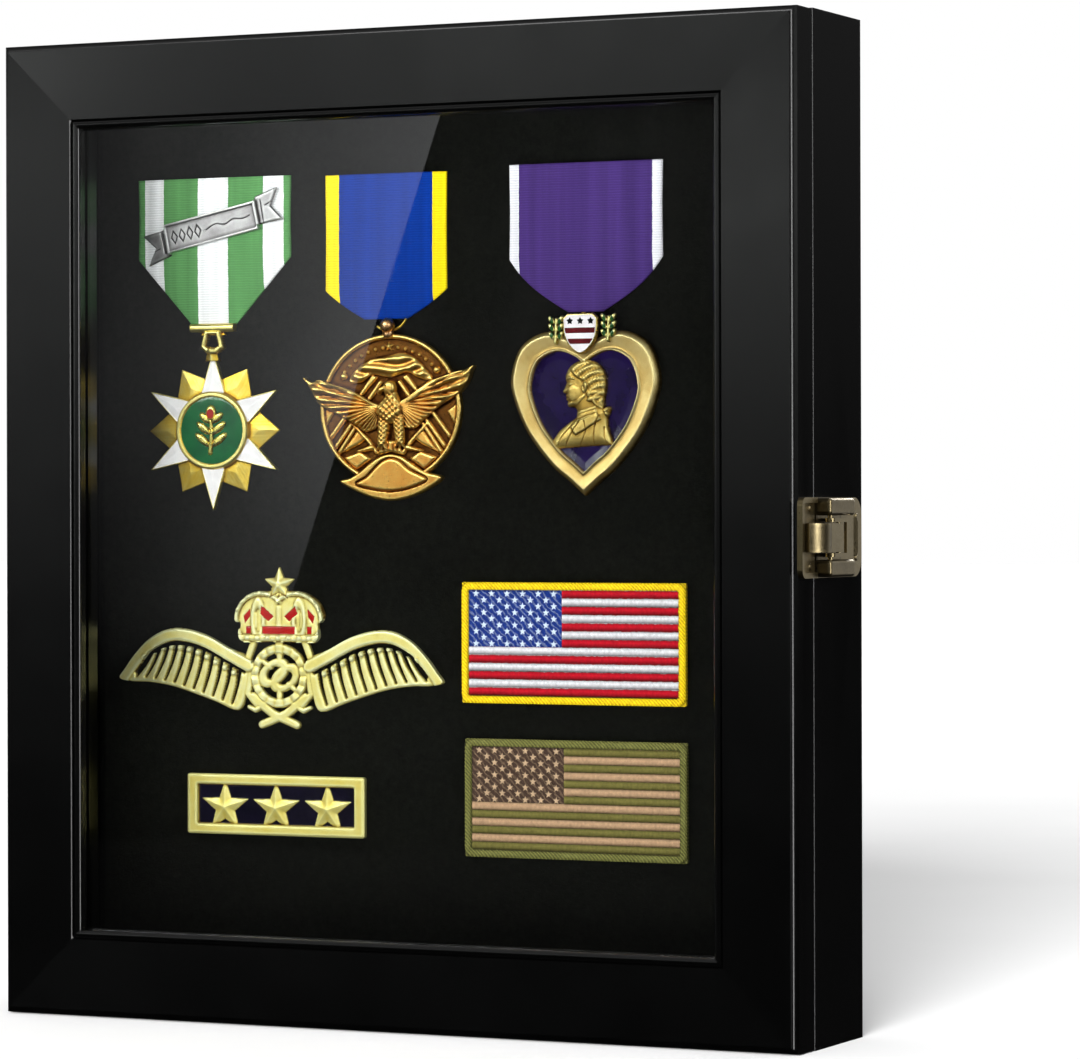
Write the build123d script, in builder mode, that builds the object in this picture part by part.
from build123d import *
import os
from math import cos, radians, sin

# A hinged shadow box: a black mitred case with a glazed front door, butt hinges on
# the left, a toggle latch on the right and a felt-covered pin board that carries
# medals, badges and patches. Millimetres, X to the right, Y to the back, Z up.
# The origin is the centre of the case's footprint, on the surface it stands on.

os.makedirs("parts", exist_ok=True)

# ---- driving dimensions ----
WIDTH = 331.0
HEIGHT = 375.0
DEPTH = 66.0
DOOR_THICKNESS = 16.5
DOOR_GAP = 0.5  # the door stands this far inside the case's top and bottom
SEAM = 0.3  # gap between the closed door and the case
MOULDING = 33.0  # width of the door's moulding
BOARD = 15.0  # thickness of the case's boards
EASED = 0.4  # small chamfer on the edges along the seam

# door moulding, measured across from its outer edge and back from its front
OUTER_RADIUS = 2.3
FACE_FALL = 1.4
RIDGE_AT = 29.2
BEAD_RADIUS = 1.8
LIP_DEPTH = 6.5
REBATE_WIDTH = 6.0
GLASS_THICKNESS = 2.0
GLASS_PLAY = 0.5

# back of the case
REAR_RADIUS = 2.0
REBATE_SHELF = 8.0
PANEL_THICKNESS = 4.0
PANEL_RECESS = 4.0
PIN_BOARD_THICKNESS = 11.0
FELT_THICKNESS = 1.0
FIT_PLAY = 0.2

# butt hinges
HINGE_HEIGHTS = (70.0, 305.0)
HINGE_LENGTH = 38.0
LEAF_WIDTH = 13.0
LEAF_THICKNESS = 1.0
BARREL_RADIUS = 2.2
PIN_RADIUS = 1.0
RUNNING_PLAY = 0.05
KNUCKLE_GAP = 0.3

# toggle latch: distances back from the door's front, and out from the side
LATCH_HEIGHT = 184.5
PLATE_THICKNESS = 0.8
PLATE_HALF_HEIGHT = 14.5
KEEPER_FRONT = 1.2
KEEPER_BACK = 15.8
KEEPER_CORNER = 3.0
RIM_WIDTH = 2.0
RIM_HEIGHT = 1.3
BASE_FRONT = 17.6
BASE_BACK = 62.0
BASE_CORNER = 7.0
LEVER_PIVOT = (22.0, 4.4)
TONGUE_PIVOT = (30.0, 4.3)
RIVET_RADIUS = 0.9
EAR_INNER = 5.6
EAR_OUTER = 7.0
TONGUE_HALF_WIDTH = 5.2
TONGUE_THICKNESS = 1.2
LATCH_TOP = 6.3  # the closed tongue and lever are flush at this level
HANDLE_FRONT = 33.4
HANDLE_END = 42.5
HANDLE_THICKNESS = 1.1
HANDLE_CORNER = 2.0
LIP_LENGTH = 2.5
LIP_RISE = 0.7

# keyhole hanger plates
HANGER_SPACING = 240.0
HANGER_HEIGHT = 318.0
HANGER_THICKNESS = 1.5
KEYHOLE_RADIUS = 4.5
KEYHOLE_SLOT = 2.3
KEYHOLE_RISE = 12.0

FRONT = -DEPTH / 2
REAR = DEPTH / 2
DOOR_BACK = FRONT + DOOR_THICKNESS
CASE_FRONT = DOOR_BACK + SEAM
PANEL_BACK = REAR - PANEL_RECESS
PANEL_FRONT = PANEL_BACK - PANEL_THICKNESS
FELT_BACK = PANEL_FRONT - PIN_BOARD_THICKNESS
FELT_FRONT = FELT_BACK - FELT_THICKNESS
REAR_LEDGE = BOARD - REBATE_SHELF
HINGE_X = -WIDTH / 2 - BARREL_RADIUS - KNUCKLE_GAP
HINGE_Y = DOOR_BACK + SEAM / 2

BACKWARD = Vector(0, 1, 0)
INWARD = {
    "left": Vector(1, 0, 0),
    "right": Vector(-1, 0, 0),
    "top": Vector(0, 0, -1),
    "bottom": Vector(0, 0, 1),
}


def save(piece, name):
    """Labels a finished piece and writes its STEP file."""
    piece.part.label = name
    export_step(piece.part, f"parts/{name}.step")


def member_plane(side, low, high):
    """The section plane of one frame member: x across towards the opening, y back,
    z along the member, with its origin at the middle of the outer front edge."""
    inward = INWARD[side]
    reach = WIDTH / 2 if inward.X else (high - low) / 2
    middle = Vector(0, FRONT, (low + high) / 2)
    return Plane(origin=middle - inward * reach, x_dir=inward, z_dir=inward.cross(BACKWARD))


def half_length(side, low, high):
    """Half the length of a frame member along its outer edge."""
    return (high - low) / 2 if INWARD[side].X else WIDTH / 2


def mitre_both_ends(section, half):
    """Cuts the member being built at 45 degrees at both ends."""
    for end in (1, -1):
        corner = section.origin + section.z_dir * (end * half)
        split(bisect_by=Plane(origin=corner, z_dir=section.x_dir + section.z_dir * end), keep=Keep.BOTTOM)


def drive(places, head_radius, head_height, shank_radius, length, countersunk):
    """Screws with their heads' tops or undersides at the given planes, each pointing
    against the plane's normal."""
    down = (Align.CENTER, Align.CENTER, Align.MAX)
    up = (Align.CENTER, Align.CENTER, Align.MIN)
    with Locations(*places):
        Cylinder(radius=shank_radius, height=length, align=down)
        if countersunk:
            Cone(bottom_radius=shank_radius, top_radius=head_radius, height=head_height, align=down)
        else:
            Cone(bottom_radius=head_radius, top_radius=head_radius * 0.7, height=head_height, align=up)


def recess(places, above, width, depth):
    """Cross recesses in screw heads whose tops stand the given height over the planes."""
    tops = [place.offset(above) for place in places]
    down = (Align.CENTER, Align.CENTER, Align.MAX)
    with Locations(*tops):
        Box(width, width / 4, depth, align=down, mode=Mode.SUBTRACT)
        Box(width / 4, width, depth, align=down, mode=Mode.SUBTRACT)


# ---- screws, first as the plain shapes that are cut out of what they hold ----
HINGE_SCREW = dict(head_radius=2.2, head_height=1.0, shank_radius=0.8, length=9.0, countersunk=True)
PANEL_SCREW = dict(head_radius=2.9, head_height=1.5, shank_radius=1.1, length=11.0, countersunk=False)
LATCH_NAIL = dict(head_radius=1.3, head_height=0.5, shank_radius=0.6, length=8.0, countersunk=False)
SCREW_OFFSETS = (-12.0, 12.0)

hinge_screw_x = -WIDTH / 2 + 7.5
case_screw_places = [
    Plane(origin=(hinge_screw_x, CASE_FRONT, height + offset), z_dir=(0, -1, 0))
    for height in HINGE_HEIGHTS
    for offset in SCREW_OFFSETS
]
door_screw_places = [
    Plane(origin=(hinge_screw_x, DOOR_BACK, height + offset), z_dir=(0, 1, 0))
    for height in HINGE_HEIGHTS
    for offset in SCREW_OFFSETS
]
panel_inset = REAR_LEDGE + REBATE_SHELF / 2
panel_x = WIDTH / 2 - panel_inset
panel_screw_places = [
    Plane(origin=(x, PANEL_BACK, z), z_dir=(0, 1, 0))
    for x, z in [(side * panel_x, height) for side in (-1, 1) for height in (40, HEIGHT / 2, HEIGHT - 40)]
    + [(side * 80, level) for side in (-1, 1) for level in (panel_inset, HEIGHT - panel_inset)]
]
hanger_face = PANEL_BACK + HANGER_THICKNESS
hanger_screw_places = [
    Plane(origin=(side * HANGER_SPACING / 2, hanger_face, HANGER_HEIGHT + lift), z_dir=(0, 1, 0))
    for side in (-1, 1)
    for lift in (-11.0, 21.0)
]
keeper_nail_places = [
    Plane(origin=(WIDTH / 2 + PLATE_THICKNESS, FRONT + 11.5, LATCH_HEIGHT + side * 10.5), z_dir=(1, 0, 0))
    for side in (-1, 1)
]
base_nail_places = [
    Plane(origin=(WIDTH / 2 + PLATE_THICKNESS, FRONT + 56.5, LATCH_HEIGHT + side * 7.5), z_dir=(1, 0, 0))
    for side in (-1, 1)
]

with BuildPart() as case_screw_space:
    drive(case_screw_places, **HINGE_SCREW)
with BuildPart() as door_screw_space:
    drive(door_screw_places, **HINGE_SCREW)
with BuildPart() as panel_screw_space:
    drive(panel_screw_places, **PANEL_SCREW)
with BuildPart() as hanger_screw_space:
    drive(hanger_screw_places, **HINGE_SCREW)
with BuildPart() as keeper_nail_space:
    drive(keeper_nail_places, **LATCH_NAIL)
with BuildPart() as base_nail_space:
    drive(base_nail_places, **LATCH_NAIL)

with BuildPart() as hinge_case_screws:
    add(case_screw_space.part)
    recess(case_screw_places, 0, 2.4, 0.6)
save(hinge_case_screws, "hinge_case_screws")
with BuildPart() as hinge_door_screws:
    add(door_screw_space.part)
    recess(door_screw_places, 0, 2.4, 0.6)
save(hinge_door_screws, "hinge_door_screws")
with BuildPart() as back_panel_screws:
    add(panel_screw_space.part)
    recess(panel_screw_places, PANEL_SCREW["head_height"], 3.0, 0.9)
save(back_panel_screws, "back_panel_screws")
with BuildPart() as hanger_screws:
    add(hanger_screw_space.part)
    recess(hanger_screw_places, 0, 2.4, 0.6)
save(hanger_screws, "hanger_screws")
save(keeper_nail_space, "latch_keeper_nails")
save(base_nail_space, "latch_base_nails")


# ---- butt hinges ----
def hinge_leaf(height, level, into, knuckles, bore):
    """A hinge leaf let into the wood: a flat plate at the given level, with a neck
    and a knuckle round the hinge axis on each stretch of its length."""
    inner = -WIDTH / 2
    thick = (Align.MIN, Align.MIN if into > 0 else Align.MAX, Align.CENTER)
    with Locations((inner, level, height)):
        Box(LEAF_WIDTH, LEAF_THICKNESS, HINGE_LENGTH, align=thick)
    for low, high in knuckles:
        middle = height + (low + high) / 2
        with Locations((HINGE_X, level, middle)):
            Box(inner - HINGE_X, LEAF_THICKNESS, high - low, align=thick)
        with Locations((HINGE_X, HINGE_Y, middle)):
            Cylinder(radius=BARREL_RADIUS, height=high - low)
            Hole(radius=bore, depth=HINGE_LENGTH)


third = HINGE_LENGTH / 6
outer_knuckles = ((-3 * third, -third - KNUCKLE_GAP / 2), (third + KNUCKLE_GAP / 2, 3 * third))
middle_knuckle = ((-third + KNUCKLE_GAP / 2, third - KNUCKLE_GAP / 2),)
case_leaves = []
door_leaves = []
for place, height in zip(("lower", "upper"), HINGE_HEIGHTS):
    with BuildPart() as hinge_case_leaf:
        hinge_leaf(height, CASE_FRONT, 1, outer_knuckles, PIN_RADIUS)
        add(case_screw_space.part, mode=Mode.SUBTRACT)
    save(hinge_case_leaf, f"hinge_case_leaf_{place}")
    case_leaves.append(hinge_case_leaf.part)

    with BuildPart() as hinge_door_leaf:
        hinge_leaf(height, DOOR_BACK, -1, middle_knuckle, PIN_RADIUS + RUNNING_PLAY)
        add(door_screw_space.part, mode=Mode.SUBTRACT)
    save(hinge_door_leaf, f"hinge_door_leaf_{place}")
    door_leaves.append(hinge_door_leaf.part)

    with BuildPart() as hinge_pin:
        with Locations((HINGE_X, HINGE_Y, height)):
            Cylinder(radius=PIN_RADIUS, height=HINGE_LENGTH)
        for end in (-1, 1):
            tip = Plane(origin=(HINGE_X, HINGE_Y, height + end * HINGE_LENGTH / 2), z_dir=(0, 0, end))
            with BuildSketch(tip):
                Circle(BARREL_RADIUS * 0.75)
            extrude(amount=0.9, taper=25)
    save(hinge_pin, f"hinge_pin_{place}")


# ---- case boards: left, right, top and bottom ----
def case_section():
    """Section of a case board, with a rebate behind for the back panel."""
    front = CASE_FRONT - FRONT
    shelf = PANEL_FRONT - FRONT
    with BuildSketch() as section_face:
        with BuildLine():
            Polyline((0, front + EASED), (EASED, front), (BOARD, front), (BOARD, shelf))
            Polyline((BOARD, shelf), (REAR_LEDGE, shelf), (REAR_LEDGE, DEPTH), (REAR_RADIUS, DEPTH))
            RadiusArc((REAR_RADIUS, DEPTH), (0, DEPTH - REAR_RADIUS), REAR_RADIUS)
            Line((0, DEPTH - REAR_RADIUS), (0, front + EASED))
        make_face()
    return section_face.sketch


for side in INWARD:
    section = member_plane(side, 0, HEIGHT)
    with BuildPart() as case_board:
        with BuildSketch(section):
            add(case_section())
        extrude(amount=half_length(side, 0, HEIGHT), both=True)
        mitre_both_ends(section, half_length(side, 0, HEIGHT))
        add(panel_screw_space.part, mode=Mode.SUBTRACT)
        if side == "left":
            add(case_leaves, mode=Mode.SUBTRACT)
            add(case_screw_space.part, mode=Mode.SUBTRACT)
        if side == "right":
            add(base_nail_space.part, mode=Mode.SUBTRACT)
    save(case_board, f"case_side_{side}" if INWARD[side].X else f"case_{side}")


# ---- back panel, pin board and felt ----
def inner_panel(level, thickness, inset):
    """A flat rectangular panel whose front is at the given level."""
    with Locations((0, level, HEIGHT / 2)):
        Box(WIDTH - 2 * inset, thickness, HEIGHT - 2 * inset, align=(Align.CENTER, Align.MIN, Align.CENTER))


hanger_planes = [
    Plane(origin=(side * HANGER_SPACING / 2, PANEL_BACK, HANGER_HEIGHT), x_dir=(-1, 0, 0), z_dir=(0, 1, 0))
    for side in (-1, 1)
]
with BuildPart() as back_panel:
    inner_panel(PANEL_FRONT, PANEL_THICKNESS, REAR_LEDGE + FIT_PLAY)
    for plane in hanger_planes:
        with BuildSketch(plane):
            with Locations((0, KEYHOLE_RISE / 2)):
                SlotOverall(KEYHOLE_RISE + 12, 11, rotation=90)
        extrude(amount=-PANEL_THICKNESS, mode=Mode.SUBTRACT)
    add(panel_screw_space.part, mode=Mode.SUBTRACT)
    add(hanger_screw_space.part, mode=Mode.SUBTRACT)
save(back_panel, "back_panel")

with BuildPart() as pin_board:
    inner_panel(FELT_BACK, PIN_BOARD_THICKNESS, BOARD + FIT_PLAY)
    add(hanger_screw_space.part, mode=Mode.SUBTRACT)
save(pin_board, "pin_board")

with BuildPart() as felt_cover:
    inner_panel(FELT_FRONT, FELT_THICKNESS, BOARD + FIT_PLAY)
save(felt_cover, "felt_cover")

for side, plane in zip(("left", "right"), hanger_planes):
    with BuildPart() as hanger_plate:
        with BuildSketch(plane):
            with Locations((0, 5)):
                SlotOverall(46, 16, rotation=90)
        extrude(amount=HANGER_THICKNESS)
        # the keyhole: a round hole below with a narrow slot rising from it
        with BuildSketch(plane):
            Circle(KEYHOLE_RADIUS)
            with Locations((0, KEYHOLE_RISE / 2)):
                SlotOverall(KEYHOLE_RISE + 2 * KEYHOLE_SLOT, 2 * KEYHOLE_SLOT, rotation=90)
        extrude(amount=HANGER_THICKNESS, mode=Mode.SUBTRACT)
        add(hanger_screw_space.part, mode=Mode.SUBTRACT)
    save(hanger_plate, f"hanger_plate_{side}")


# ---- toggle latch ----
# (u, v) on the side of the case: back from the door's front, and up
LATCH = Plane(origin=(WIDTH / 2, FRONT, LATCH_HEIGHT), x_dir=(0, 1, 0), z_dir=(1, 0, 0))
# (u, w) through the latch: back from the door's front, and out from the side
LATCH_SIDE = Plane(origin=(WIDTH / 2, FRONT, LATCH_HEIGHT), x_dir=(0, 1, 0), z_dir=(0, 0, -1))
ACROSS = Plane(origin=(0, 0, LATCH_HEIGHT), z_dir=(0, 0, 1))
HUMP_INNER = 8.0
HUMP_OUTER = 14.2
HUMP_HEIGHT = 6.4
HUMP_BACK = 42.0

with BuildPart() as latch_rivets:
    with BuildSketch(LATCH_SIDE.offset(EAR_INNER)):
        with Locations(LEVER_PIVOT):
            Circle(RIVET_RADIUS)
    extrude(amount=HUMP_OUTER - 1.2 - EAR_INNER)
    mirror(about=ACROSS)
save(latch_rivets, "latch_lever_rivets")

with BuildPart() as latch_tongue_pin:
    with BuildSketch(LATCH_SIDE):
        with Locations(TONGUE_PIVOT):
            Circle(RIVET_RADIUS)
    extrude(amount=EAR_OUTER, both=True)
save(latch_tongue_pin, "latch_tongue_pin")

with BuildPart() as latch_base_plate:
    with BuildSketch(LATCH):
        with Locations(((BASE_FRONT + BASE_BACK) / 2, 0)):
            Rectangle(BASE_BACK - BASE_FRONT, 2 * PLATE_HALF_HEIGHT)
    extrude(amount=PLATE_THICKNESS)
    fillet(latch_base_plate.edges().filter_by(Axis.X).group_by(Axis.Y)[-1], BASE_CORNER)
    hump_length = HUMP_BACK - BASE_FRONT
    hump_middle = (BASE_FRONT + HUMP_BACK) / 2
    with BuildSketch(LATCH.offset(PLATE_THICKNESS)):
        hump_level = (HUMP_INNER + HUMP_OUTER) / 2
        with Locations((hump_middle, hump_level), (hump_middle, -hump_level)):
            RectangleRounded(hump_length, HUMP_OUTER - HUMP_INNER, 1.6)
    extrude(amount=HUMP_HEIGHT - PLATE_THICKNESS)
    fillet(latch_base_plate.faces().group_by(Axis.X)[-1].edges(), 1.3)
    add(latch_rivets.part, mode=Mode.SUBTRACT)
    add(base_nail_space.part, mode=Mode.SUBTRACT)
save(latch_base_plate, "latch_base_plate")

with BuildPart() as latch_keeper:
    with BuildSketch(LATCH):
        with Locations(((KEEPER_FRONT + KEEPER_BACK) / 2, 0)):
            Rectangle(KEEPER_BACK - KEEPER_FRONT, 2 * PLATE_HALF_HEIGHT)
    extrude(amount=PLATE_THICKNESS)
    fillet(latch_keeper.edges().filter_by(Axis.X).group_by(Axis.Y)[0], KEEPER_CORNER)
    # raised rim round the front, top and bottom of the plate
    rim_middle = (KEEPER_FRONT + KEEPER_BACK + KEEPER_CORNER) / 2
    rim_length = KEEPER_BACK - KEEPER_FRONT + KEEPER_CORNER
    with BuildSketch(LATCH.offset(PLATE_THICKNESS)):
        with Locations((rim_middle, 0)):
            RectangleRounded(rim_length, 2 * PLATE_HALF_HEIGHT, KEEPER_CORNER)
            RectangleRounded(
                rim_length - 2 * RIM_WIDTH,
                2 * (PLATE_HALF_HEIGHT - RIM_WIDTH),
                KEEPER_CORNER - RIM_WIDTH + 0.2,
                mode=Mode.SUBTRACT,
            )
        with Locations((KEEPER_BACK + rim_length / 2, 0)):
            Rectangle(rim_length, 3 * PLATE_HALF_HEIGHT, mode=Mode.SUBTRACT)
    extrude(amount=RIM_HEIGHT)
    # upstand with a lip that leans forward, for the tongue's nose to pull on
    with BuildSketch(LATCH_SIDE):
        Polygon(
            (8.8, 0),
            (8.8, 3.2),
            (8.0, 4.0),
            (5.9, 4.0),
            (5.9, 3.0),
            (7.2, 2.9),
            (7.6, 2.5),
            (7.6, 0),
            align=None,
        )
    extrude(amount=TONGUE_HALF_WIDTH - 0.4, both=True)
    add(keeper_nail_space.part, mode=Mode.SUBTRACT)
save(latch_keeper, "latch_keeper")

ear_end = HANDLE_END - LIP_LENGTH
with BuildPart() as latch_lever:
    # two ears that carry both pivots
    with BuildSketch(LATCH_SIDE.offset(EAR_INNER)):
        with Locations(LEVER_PIVOT):
            Circle(LATCH_TOP - LEVER_PIVOT[1])
        Polygon(
            (LEVER_PIVOT[0], LATCH_TOP),
            (ear_end, LATCH_TOP),
            (ear_end, 3.6),
            (36.0, 1.3),
            (24.0, 1.3),
            (LEVER_PIVOT[0], 2.5),
            align=None,
        )
    extrude(amount=EAR_OUTER - EAR_INNER)
    mirror(about=ACROSS)
    # handle plate behind the tongue, with a lip turned out for the finger
    with BuildSketch(LATCH_SIDE):
        Polygon(
            (HANDLE_FRONT, LATCH_TOP - HANDLE_THICKNESS),
            (HANDLE_FRONT, LATCH_TOP),
            (ear_end, LATCH_TOP),
            (HANDLE_END, LATCH_TOP + LIP_RISE),
            (HANDLE_END, LATCH_TOP + LIP_RISE - HANDLE_THICKNESS),
            (ear_end, LATCH_TOP - HANDLE_THICKNESS),
            align=None,
        )
    extrude(amount=EAR_OUTER, both=True)
    fillet(latch_lever.edges().filter_by(Axis.X).group_by(Axis.Y)[-1], HANDLE_CORNER)
    add(latch_tongue_pin.part, mode=Mode.SUBTRACT)
    with BuildSketch(LATCH_SIDE):
        with Locations(LEVER_PIVOT):
            Circle(RIVET_RADIUS + RUNNING_PLAY)
    extrude(amount=EAR_OUTER + 1, both=True, mode=Mode.SUBTRACT)
save(latch_lever, "latch_lever")

tongue_level = LATCH_TOP - TONGUE_THICKNESS / 2
with BuildPart() as latch_tongue:
    with BuildSketch(LATCH_SIDE):
        with BuildLine():
            Line((TONGUE_PIVOT[0], tongue_level), (17.4, tongue_level))
            ThreePointArc((17.4, tongue_level), (10.0, 7.4), (4.4, 3.6))
            Line((4.4, 3.6), (4.8, 2.1))
        trace(line_width=TONGUE_THICKNESS)
        with Locations(TONGUE_PIVOT):
            Circle(LATCH_TOP - TONGUE_PIVOT[1])
            Circle(RIVET_RADIUS + RUNNING_PLAY, mode=Mode.SUBTRACT)
    extrude(amount=TONGUE_HALF_WIDTH, both=True)
save(latch_tongue, "latch_tongue")


# ---- door: four mitred mouldings ----
def moulding_section():
    """Section of the door's moulding: rounded outer edge, falling face, a ridge and a
    bead beside the opening, and a rebate behind for the glass and its beads."""
    bead_middle = MOULDING - BEAD_RADIUS
    bead_level = FACE_FALL + BEAD_RADIUS + 0.1
    bead_start = (
        bead_middle + BEAD_RADIUS * cos(radians(215)),
        bead_level + BEAD_RADIUS * sin(radians(215)),
    )
    bead_top = (bead_middle, bead_level - BEAD_RADIUS)
    rebate = MOULDING - REBATE_WIDTH
    with BuildSketch() as section_face:
        with BuildLine():
            Line((0, DOOR_THICKNESS), (0, OUTER_RADIUS))
            RadiusArc((0, OUTER_RADIUS), (OUTER_RADIUS, 0), OUTER_RADIUS)
            Polyline((OUTER_RADIUS, 0), (RIDGE_AT, FACE_FALL), bead_start)
            ThreePointArc(bead_start, bead_top, (MOULDING, bead_level))
            Polyline((MOULDING, bead_level), (MOULDING, LIP_DEPTH), (rebate, LIP_DEPTH))
            Polyline((rebate, LIP_DEPTH), (rebate, DOOR_THICKNESS), (0, DOOR_THICKNESS))
        make_face()
    return section_face.sketch


door_low, door_high = DOOR_GAP, HEIGHT - DOOR_GAP
bead_from = LIP_DEPTH + GLASS_THICKNESS
for side in INWARD:
    section = member_plane(side, door_low, door_high)
    half = half_length(side, door_low, door_high)
    with BuildPart() as door_member:
        with BuildSketch(section):
            add(moulding_section())
        extrude(amount=half, both=True)
        mitre_both_ends(section, half)
        if side == "left":
            add(door_leaves, mode=Mode.SUBTRACT)
            add(door_screw_space.part, mode=Mode.SUBTRACT)
        if side == "right":
            add(keeper_nail_space.part, mode=Mode.SUBTRACT)
    save(door_member, f"door_stile_{side}" if INWARD[side].X else f"door_rail_{side}")

    with BuildPart() as glazing_bead:
        with BuildSketch(section):
            with BuildLine():
                Polyline(
                    (MOULDING - REBATE_WIDTH, bead_from),
                    (MOULDING, bead_from),
                    (MOULDING, DOOR_THICKNESS - 1.5),
                    (MOULDING - 1.5, DOOR_THICKNESS),
                    (MOULDING - REBATE_WIDTH, DOOR_THICKNESS),
                    close=True,
                )
            make_face()
        extrude(amount=half, both=True)
        mitre_both_ends(section, half)
    save(glazing_bead, f"glazing_bead_{side}")

with BuildPart() as glass_pane:
    glass_inset = MOULDING - REBATE_WIDTH + GLASS_PLAY
    with BuildSketch(Plane(origin=(0, FRONT + LIP_DEPTH, HEIGHT / 2), x_dir=(1, 0, 0), z_dir=(0, -1, 0))):
        Rectangle(WIDTH - 2 * glass_inset, door_high - door_low - 2 * glass_inset)
    extrude(amount=-GLASS_THICKNESS)
save(glass_pane, "glass_pane")


# ---- awards on the felt ----
def on_felt(x, z, lift=0.0, tilt=0.0):
    """A plane facing the door, with its origin at (x, z) and lifted off the felt, turned
    anticlockwise by the tilt."""
    across = (cos(radians(tilt)), 0, sin(radians(tilt)))
    return Plane(origin=(x, FELT_FRONT - lift, z), x_dir=across, z_dir=(0, -1, 0))


RIBBON_THICKNESS = 2.4
PENDANT_THICKNESS = 2.6
RELIEF = 1.4
RING_WIRE = 1.1


def ribbon_outline(middle, top, width, shoulder, foot_width, foot):
    """A hanging ribbon: straight sides down to the shoulders, then in to the foot."""
    with BuildSketch() as outline:
        with BuildLine():
            Polyline(
                (middle - width / 2, top),
                (middle + width / 2, top),
                (middle + width / 2, shoulder),
                (middle + foot_width / 2, foot),
                (middle - foot_width / 2, foot),
                (middle - width / 2, shoulder),
                close=True,
            )
        make_face()
    return outline.sketch


def star_points(count, outer, inner, turn=90):
    """Corners of a star with its first point at the given angle."""
    step = 180 / count
    return [
        (reach * cos(radians(turn + i * step)), reach * sin(radians(turn + i * step)))
        for i, reach in enumerate([outer, inner] * count)
    ]


def heart_outline(half_width, lobe, top, tip):
    """A heart about x = 0: two round lobes, and sides that curve down to the tip."""
    lobe_x = half_width - lobe
    lobe_z = top - lobe
    with BuildSketch() as outline:
        with BuildLine():
            RadiusArc((half_width, lobe_z), (0, lobe_z + lobe * 0.72), lobe, short_sagitta=False)
            belly = (half_width * 0.62, (lobe_z + tip) / 2 - lobe * 0.12)
            ThreePointArc((half_width, lobe_z), belly, (0, tip))
            mirror(about=Plane.YZ)
        make_face()
    return outline.sketch


RIBBONS = {
    "star_medal_ribbon": (-97.4, 324.3, 68.0, 293.0, 18.8, 266.6),
    "eagle_medal_ribbon": (-22.0, 323.6, 52.2, 279.0, 18.5, 267.8),
    "heart_medal_ribbon": (62.3, 324.9, 63.2, 289.0, 14.5, 268.8),
}
for name, shape in RIBBONS.items():
    with BuildPart() as ribbon:
        with BuildSketch(on_felt(0, 0)):
            add(ribbon_outline(*shape))
        extrude(amount=RIBBON_THICKNESS)
    save(ribbon, name)

STAR_MIDDLE = (-97.4, 225.8)
EAGLE_MIDDLE = (-19.6, 233.2)
HEART_MIDDLE = 63.4
WINGS_MIDDLE = -68.6
BAR_MIDDLE = (-70.2, 80.3)

# hangers between ribbon and pendant: middle of the ring, its outer radius
RINGS = {
    "star_medal_ring": ((-97.0, 260.6), 4.4),
    "eagle_medal_ring": ((-19.0, 265.7), 2.9),
    "heart_medal_ring": ((64.2, 269.9), 1.9),
}
for name, (middle, outer) in RINGS.items():
    with BuildPart() as ring:
        with BuildSketch(on_felt(*middle, lift=RIBBON_THICKNESS)):
            Circle(outer)
            Circle(outer - RING_WIRE, mode=Mode.SUBTRACT)
        extrude(amount=RING_WIRE)
    save(ring, name)

with BuildPart() as star_medal_clasp:
    with BuildSketch(on_felt(-97.0, 305.0, lift=RIBBON_THICKNESS, tilt=12.0)):
        with BuildLine():
            Polyline((-29, -7.5), (-20, -6), (20, -6), (29, -3.5), (25.5, 2), (29, 7.5), (20, 6.5))
            Polyline((20, 6.5), (-20, 6.5), (-29, 4), (-25.5, -1), (-29, -7.5))
        make_face()
    extrude(amount=1.2)
save(star_medal_clasp, "star_medal_clasp")

with BuildPart() as star_medal_pendant:
    with BuildSketch(on_felt(*STAR_MIDDLE)):
        Polygon(*star_points(6, 30.0, 13.5), align=None)
        Polygon(*star_points(6, 27.0, 13.5, turn=60), align=None)
    extrude(amount=PENDANT_THICKNESS)
    with BuildSketch(on_felt(*STAR_MIDDLE, lift=PENDANT_THICKNESS)):
        Circle(16.2)
    extrude(amount=RELIEF)
save(star_medal_pendant, "star_medal_pendant")

with BuildPart() as eagle_medal_pendant:
    with BuildSketch(on_felt(*EAGLE_MIDDLE)):
        Circle(29.4)
    extrude(amount=PENDANT_THICKNESS)
    # spread wings over the disc, their tips past its rim
    with BuildSketch(on_felt(*EAGLE_MIDDLE, lift=PENDANT_THICKNESS)):
        with BuildLine():
            Polyline((-36.5, 13.5), (-16, 6), (-4, 12), (4, 12), (16, 6), (36.5, 14.5), (24, -4), (7, -8))
            Polyline((7, -8), (4, -17), (-4, -17), (-7, -8), (-24, -4), (-36.5, 13.5))
        make_face()
    extrude(amount=RELIEF)
save(eagle_medal_pendant, "eagle_medal_pendant")

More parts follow.
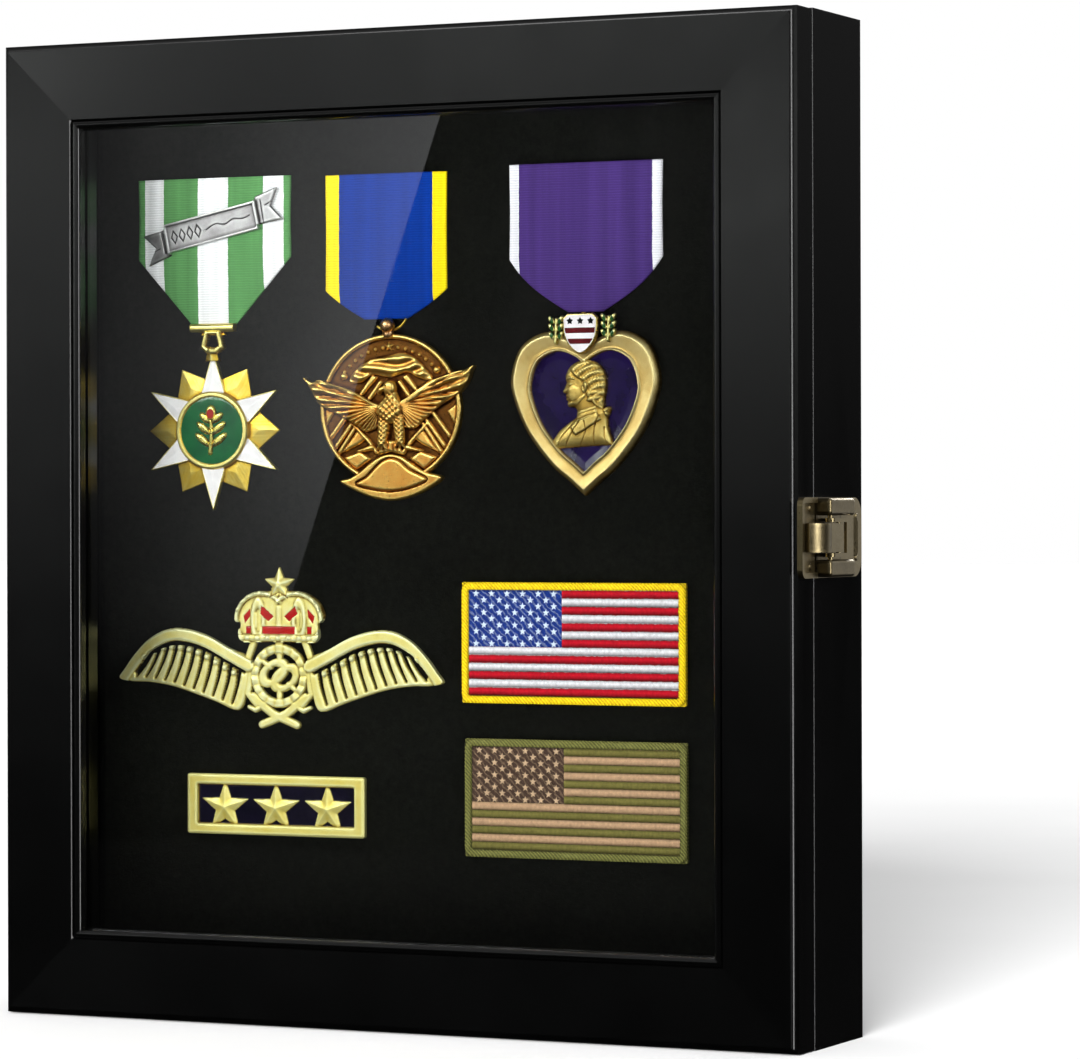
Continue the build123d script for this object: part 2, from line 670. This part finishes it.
with BuildPart() as heart_medal_pendant:
    with BuildSketch(on_felt(HEART_MIDDLE, 0)):
        add(heart_outline(30.5, 16.5, 261.5, 199.9))
    extrude(amount=PENDANT_THICKNESS)
    with BuildSketch(on_felt(HEART_MIDDLE, 0, lift=PENDANT_THICKNESS)):
        add(heart_outline(30.5, 16.5, 261.5, 199.9))
        add(heart_outline(22.0, 12.0, 254.5, 208.6), mode=Mode.SUBTRACT)
        with Locations((0, 232)):
            Ellipse(8, 14)
    extrude(amount=RELIEF)
save(heart_medal_pendant, "heart_medal_pendant")

with BuildPart() as heart_medal_shield:
    with BuildSketch(on_felt(HEART_MIDDLE + 0.8, 252.6, lift=PENDANT_THICKNESS + RELIEF)):
        with BuildLine():
            Polyline((-8.0, 13.4), (-5.5, 15.0), (5.5, 15.0), (8.0, 13.4))
            ThreePointArc((8.0, 13.4), (6.2, 4.4), (0, 0))
            ThreePointArc((0, 0), (-6.2, 4.4), (-8.0, 13.4))
        make_face()
    extrude(amount=1.0)
save(heart_medal_shield, "heart_medal_shield")

with BuildPart() as wings_badge:
    with BuildSketch(on_felt(WINGS_MIDDLE, 110.8)):
        with BuildLine():
            Polyline((0, 61.7), (5, 55), (20, 47), (14, 33), (12, 27))
            ThreePointArc((12, 27), (36, 38), (58, 29))
            ThreePointArc((58, 29), (67, 21), (71, 7))
            ThreePointArc((71, 7), (42, 5), (13, 13))
            Polyline((13, 13), (8, 4), (0, 0))
            mirror(about=Plane.YZ)
        make_face()
    extrude(amount=2.0)
save(wings_badge, "wings_badge")

with BuildPart() as star_bar_badge:
    with BuildSketch(on_felt(*BAR_MIDDLE)):
        RectangleRounded(78.0, 23.4, 1.5)
    extrude(amount=1.6)
    with BuildSketch(on_felt(*BAR_MIDDLE, lift=1.6)):
        RectangleRounded(78.0, 23.4, 1.5)
        RectangleRounded(71.0, 17.0, 0.8, mode=Mode.SUBTRACT)
        with GridLocations(22.4, 0, 3, 1):
            Polygon(*star_points(5, 10.4, 4.4), align=None)
    extrude(amount=0.8)
save(star_bar_badge, "star_bar_badge")

PATCHES = {"colour_flag_patch": (56.9, 144.4, 92.8, 45.8), "subdued_flag_patch": (57.7, 85.6, 92.0, 44.8)}
for name, (x, z, width, height) in PATCHES.items():
    with BuildPart() as patch:
        with BuildSketch(on_felt(x, z)):
            RectangleRounded(width, height, 1.6)
        extrude(amount=1.8)
    save(patch, name)
